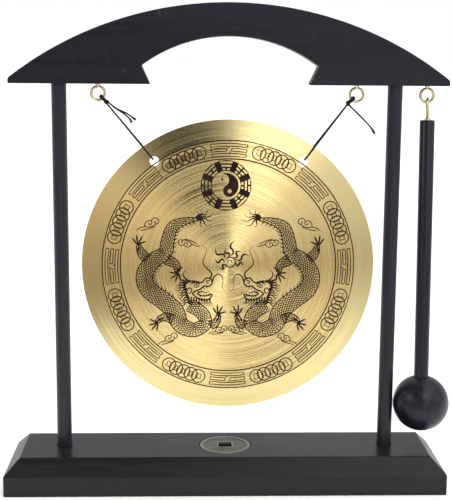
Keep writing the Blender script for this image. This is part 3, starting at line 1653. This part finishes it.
class DragonArt:
    """A scaly long-bodied dragon of no particular pattern, drawn on the left and mirrored."""

    trunk = ((-15.5, 24.5), (-22.0, 23.5), (-28.5, 20.5), (-31.0, 13.5), (-32.5, 7.0), (-38.5, 3.0),
             (-43.0, -4.5), (-41.0, -12.0), (-34.0, -17.5), (-27.5, -23.5), (-24.5, -30.5), (-17.5, -33.5),
             (-11.5, -29.5), (-14.0, -24.0), (-19.5, -20.5))
    girth = (0.6, 1.7, 2.7, 3.2, 3.5, 3.8, 4.1, 4.3, 4.5, 4.6, 4.2, 3.6, 3.2, 3.2, 3.4)
    scale = 1.28

    def __init__(self, side: Side) -> None:
        """Takes the side of the disc to draw on.

        Args:
            side: Which side.
        """
        self.ink = InkDrawing(f"dragon_{side.word}", -side.value)

    def body(self, spine: Rows, girth: Sequence[float], fins: bool) -> None:
        """Draws a scaly length: two outlines, rows of scales and fins along its back.

        Args:
            spine: The places that its middle passes through.
            girth: Its half-width at each of them.
            fins: Whether spines stand along its left side, as far as its coil.
        """
        line = flow([(x, y, w) for (x, y), w in zip(spine, girth)], self.scale * 0.86)
        ways = [step.xy.normalized() for step in neighbours(line)]

        def off(i: int, across: float, along: float = 0) -> tuple[float, float]:
            """A place beside the spine's point i, to its left and onward."""
            p, way = line[i], ways[i]
            return p.x - way.y * across + way.x * along, p.y + way.x * across + way.y * along

        for hand in (-1, 1):
            edge = [off(i, hand * p.z) for i, p in enumerate(line)]
            self.ink.line(edge[:-2:3] + [edge[-1]], 0.62)
        for i in range(2, len(line) * 5 // 8, 2) if fins else ():
            fin = [off(i, line[i].z + across, along) for across, along in ((0, 0.4), (1, 0), (1.7, -1.1))]
            self.ink.line(fin, 0.8, Taper.END)
        for i, p in enumerate(line):
            rows = max(1, round(2 * p.z / self.scale))
            pitch = 2 * p.z / rows
            for j in range(rows + i % 2):
                middle = -p.z + pitch * (j + 0.5 - 0.5 * (i % 2))
                if abs(middle) <= p.z - 0.3 * pitch:
                    shape = ((-0.5, -0.35), (0, 0.42), (0.5, -0.35))
                    self.ink.line([off(i, middle + a * pitch, b * self.scale) for a, b in shape], 0.42)

    def foot(self, at: Sequence[float], angle: float) -> None:
        """Draws a foot of five claws.

        Args:
            at: Where the leg ends.
            angle: The direction that the claws spread round, in degrees.
        """
        for spread, long in ((-75, 3.6), (-32, 4.4), (0, 4.9), (30, 4.4), (150, 3.2)):
            toe = [(0, 0), (long * 0.5, 0.45), (long * 0.85, 0.15)]
            nail = [(long * 0.8, 0.2), (long, 0.25), (long * 1.18, -0.35)]
            self.ink.line(swung(toe, angle + spread, at), 0.85)
            self.ink.line(swung(nail, angle + spread, at), 1.0, Taper.END)

    def legs(self) -> None:
        """Draws the four legs."""
        for spine, girth, angle in (
            (((-41.5, 4.0), (-44.5, 7.0), (-45.8, 11.0)), (2.4, 2.1, 1.1), 100),
            (((-31.5, 3.5), (-27.0, 1.0), (-26.0, -3.0)), (2.6, 2.1, 1.1), 255),
            (((-28.5, -28.0), (-33.0, -26.5), (-36.5, -29.0)), (2.4, 2.0, 1.1), 235),
            (((-9.0, -31.0), (-5.5, -29.0), (-4.6, -25.5)), (2.4, 1.8, 1.1), 98),
        ):
            self.body(spine, girth, False)
            self.foot(spine[-1], angle)

    def head(self, at: Sequence[float] = (-17.8, -13.2), lean: float = 8, size: float = 1.42) -> None:
        """Draws the head, jaws open towards the pearl, with horns, mane, beard and whiskers.

        Args:
            at: Where the throat begins.
            lean: How far the muzzle points up, in degrees.
            size: The head's scale.
        """

        def stroke(points: Rows, width: float = 0.6, taper: Taper = Taper.NONE, closed: bool = False) -> None:
            """Draws a stroke given along the muzzle and up from it."""
            self.ink.line(swung(points, lean, at, size), width, taper, closed)

        skull = [(-3.6, 1.6), (-2, 3.4), (0.6, 3.9), (2.4, 2.9), (3.8, 3.1), (5.2, 4.3), (6.9, 3.7),
                 (7.2, 2.1)]
        palate = [(7.2, 2.1), (5.9, 1.2), (4.2, 1.5), (2.4, 0.5), (0.8, 0.1), (-0.6, -0.8)]
        jaw = [(-0.6, -0.8), (1.2, -2.6), (3.4, -3.7), (5.4, -3.4), (6.2, -2), (4.6, -2.2), (2.6, -1.9),
               (1.1, -0.9)]
        for outline in (skull, palate, jaw):
            stroke(outline, 0.75)
        stroke([(0.4, 2.0), (1.2, 2.8), (2.3, 2.4), (1.9, 1.6), (0.9, 1.5)], 0.5, closed=True)
        stroke([(1.1, 2.1), (1.6, 2.2)], 1.0)
        stroke([(-0.8, 2.7), (0.7, 3.5), (2.9, 3.2)], 1.3, Taper.BOTH)
        stroke([(6.5, 3.0), (5.6, 3.4), (5.2, 2.6), (5.9, 2.3)], 0.6)
        stroke([(1.4, -0.6), (3.2, -0.5), (4.6, -1.1), (5.8, -0.4)], 0.9, Taper.END)
        stroke([(-2.4, 1.0), (-1.1, 1.5), (-0.6, 0.3), (-1.6, -0.6)], 0.6)
        for i in range(5):
            x = 1.7 + i * 1.05
            stroke([(x, 0.6 + i * 0.2), (x + 0.3, -0.5 + i * 0.3)], 0.8, Taper.END)
            stroke([(x + 0.5, -2.3 - i * 0.06), (x + 0.8, -1.3)], 0.7, Taper.END)
        for back, rise in ((0.2, 7.4), (1.7, 5.8)):
            horn = ((-0.2, 3.7), (-1.8, 4.8), (-2.6, rise - 0.6), (-1.2, rise + 1.2))
            stroke([(x - back, y) for x, y in horn], 1.3, Taper.END)
        for i in range(9):
            low = 3.2 - i * 0.95
            root, reach = -2.6 + 0.14 * i, 3.6 + 0.3 * (i % 3)
            stroke([(root, low), (root - reach * 0.4, low + 0.8), (root - reach * 0.75, low - 0.3),
                    (root - reach, low + 0.6)], 1.15, Taper.END)
        for i in range(9):
            x = -2.0 + i * 0.95
            stroke([(x, -1.6 - 0.24 * i), (x - 0.3, -3.6 - 0.12 * i), (x + 0.5, -5.0 - 0.05 * i),
                    (x - 0.1, -6.3 + 0.12 * (i % 2))], 0.95, Taper.END)
        stroke([(6.4, 3.6), (7.4, 5.6), (6, 7.8), (4.8, 10), (6, 12.6), (6.8, 15), (5, 16.6)], 0.9, Taper.END)
        stroke([(7.2, 2.6), (8.4, 4.6), (10.2, 5.0), (11.2, 3.0), (10.6, 0.4), (11.4, -1.6)], 0.85, Taper.END)

    def tail(self) -> None:
        """Draws the tuft of the tail."""
        for angle, long in ((-62, 5.0), (-30, 7.5), (-4, 9.5), (18, 8.5), (42, 7.5), (68, 5.5), (98, 4.0)):
            lick = [(-0.8, 0), (long * 0.3, 0.7), (long * 0.65, -0.6), (long, 0.6)]
            self.ink.line(swung(lick, angle, self.trunk[0]), 1.1, Taper.END)

    def print(self, plate: GongPlate, look: Look) -> None:
        """Draws the dragon and prints it.

        Args:
            plate: The disc.
            look: The ink.
        """
        self.body(self.trunk, self.girth, True)
        self.legs()
        self.head()
        self.tail()
        self.ink.print(plate, look)


# ---------------------------------------------------------------- mallet


@dataclass(frozen=True)
class Mallet:
    """Hook, stick and ball, made upright about the middle of the hook's bend and then hung."""

    pivot: tuple = (101 * MM, 0, 197.75 * MM)
    lean_back: float = 1.08
    lean_out: float = 0.56
    hook_radius: float = 2.6 * MM
    hook_wire: float = 0.75 * MM
    hook_turn: float = 15
    tip_down: float = 2.6 * MM
    stick_radius: float = 3.8 * MM
    stick_top: float = -8.3 * MM
    stick_length: float = 146.5 * MM
    thread: float = 9 * MM
    ball_radius: float = 14.7 * MM
    ball_down: float = 156.6 * MM
    gap: float = 0.3 * MM

    @property
    def leg(self) -> Vector:
        """The hook's long leg, from the middle of its bend."""
        turn = math.radians(self.hook_turn)
        return Vector((math.sin(turn), math.cos(turn), 0)) * self.hook_radius

    @property
    def hang(self) -> Matrix:
        """The place and lean of the hanging mallet."""
        return (Matrix.Translation(self.pivot) @ Matrix.Rotation(-math.radians(self.lean_back), 4, "X")
                @ Matrix.Rotation(-math.radians(self.lean_out), 4, "Y"))

    def hook(self, look: Look) -> None:
        """The screw hook, with its thread and a collar where it enters the stick.

        Args:
            look: The brass.
        """
        unit, top = self.leg.normalized(), self.stick_top
        points = [self.leg + Vector((0, 0, z)) for z in (top - self.thread + MM, top, top / 2, -MM)]
        points += [unit * out + Vector((0, 0, up)) for out, up in arc((0, 0), self.hook_radius, 0, 180, 10)]
        points.append(unit * (-self.hook_radius * 1.05) - Vector((0, 0, self.tip_down)))
        wire = tube("brass_hook", flow(points, 0.25 * MM), self.hook_wire)
        wide, low = 1.5 * MM, top + 0.02 * MM
        collar = Workpiece.turned("tool", [(0, low), (wide, low), (wide, top + 0.3 * MM),
                                           (self.hook_wire * 1.15, top + 1.2 * MM), (0, top + 1.3 * MM)], 32)
        turns, pitch, steps = 5, 0.85 * MM, 16
        round_it = arc((0, 0), self.hook_wire, 0, 360 * turns, steps * turns)
        thread = [self.leg + Vector((x, y, top + 1.1 * MM + pitch * i / steps))
                  for i, (x, y) in enumerate(round_it)]
        wire.join(collar.place(Matrix.Translation(self.leg)), tube("tool", thread, 0.24 * MM))
        dress(wire.smooth(40).place(self.hang), look, Body.MALLET, "brass_wire", "mallet_hook")

    def hung(self, name: str, profile: Rows, steps: int) -> Workpiece:
        """A turned piece on the stick's axis, hung in its place."""
        piece = Workpiece.turned(name, profile, steps).smooth(35)
        return piece.place(self.hang @ Matrix.Translation(self.leg))

    def stick(self, look: Look) -> None:
        """The stick, drilled for the hook, with eased ends.

        Args:
            look: The wood.
        """
        top, low, radius = self.stick_top, self.stick_top - self.stick_length, self.stick_radius
        ease, bore, floor = 0.6 * MM, self.hook_wire + self.gap, self.stick_top - self.thread
        profile = [(0, low), (radius - ease, low), (radius, low + ease), (radius, top - ease),
                   (radius - ease * 0.4, top - ease * 0.25), (radius - ease, top),
                   (bore, top), (bore, floor), (0, floor)]
        dress(self.hung("mallet_shaft", profile, 64), look, Body.MALLET, "mallet_wood", "mallet_stick")

    def ball(self, look: Look) -> None:
        """The ball with the socket for the stick, its mouth eased.

        Args:
            look: The wood.
        """
        bore, ease = self.stick_radius + self.gap, 0.35 * MM
        floor = self.stick_top - self.stick_length - self.gap
        start = 90 - math.degrees(math.asin((bore + ease) / self.ball_radius))
        shell = arc((0, -self.ball_down), self.ball_radius, start, -90, 72)
        profile = [(0, floor), (bore, floor), (bore, shell[0][1] - ease * 0.6), *shell[:-1],
                   (0, -self.ball_down - self.ball_radius)]
        dress(self.hung("mallet_ball", profile, 128), look, Body.MALLET, "mallet_wood", "mallet_head")

    def build(self, wood: Look, brass: Look) -> None:
        """Makes the whole mallet.

        Args:
            wood: The stick's and the ball's material.
            brass: The hook's material.
        """
        self.hook(brass)
        self.stick(wood)
        self.ball(wood)


# ---------------------------------------------------------------- assembly


def main() -> None:
    """Builds the studio and every sub-assembly."""
    logging.basicConfig(level=logging.INFO, format="%(name)s: %(message)s")
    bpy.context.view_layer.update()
    plate = GongPlate()
    Studio().build(plate.centre)

    cord_look = TwistedCord("black_waxed_cord").make()
    for side in Side:
        HangingCord(side, plate.hole_at(side) / MM).build(cord_look)

    brass = Metal("bright_brass_wire", (0.84, 0.76, 0.50), (0.5, 0.42, 0.24), 0.18).make()
    stand = Stand()
    stand.build(
        board=StainedWood("black_stained_board", dark=(0.0045, 0.0045, 0.005),
                          light=(0.012, 0.012, 0.0125), coat=0.0).make(),
        arch=StainedWood("black_stained_arch", rub=(0.05, 0.052, 0.058), gloss=0.38, coat=0.02,
                         wear=0.37).make(),
        upright=StainedWood("black_stained_dowel", stretch=(1.0, 1.0, 0.06),
                            dark=(0.010, 0.0105, 0.0165), light=(0.022, 0.023, 0.035)).make(),
        brass=brass,
        coin=AgedCoin("aged_coin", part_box("coin")[1].z - stand.coin_sunk).make(),
        steel=Metal("zinc_steel", (0.52, 0.53, 0.55), (0.38, 0.38, 0.38), 0.3).make(),
    )
    plate.build(BrushedBrass("lathe_brushed_brass", tuple(plate.centre), 64.9 * MM).make())
    DiscOrnament(plate, PrintedInk("printed_ink").make()).build()
    lacquer = StainedWood("black_lacquered_mallet", stretch=(1.0, 1.0, 0.08), gloss=0.27,
                          dark=(0.005, 0.0055, 0.0105), light=(0.013, 0.014, 0.023))
    Mallet().build(lacquer.make(), brass)


if __name__ == "__main__":
    main()
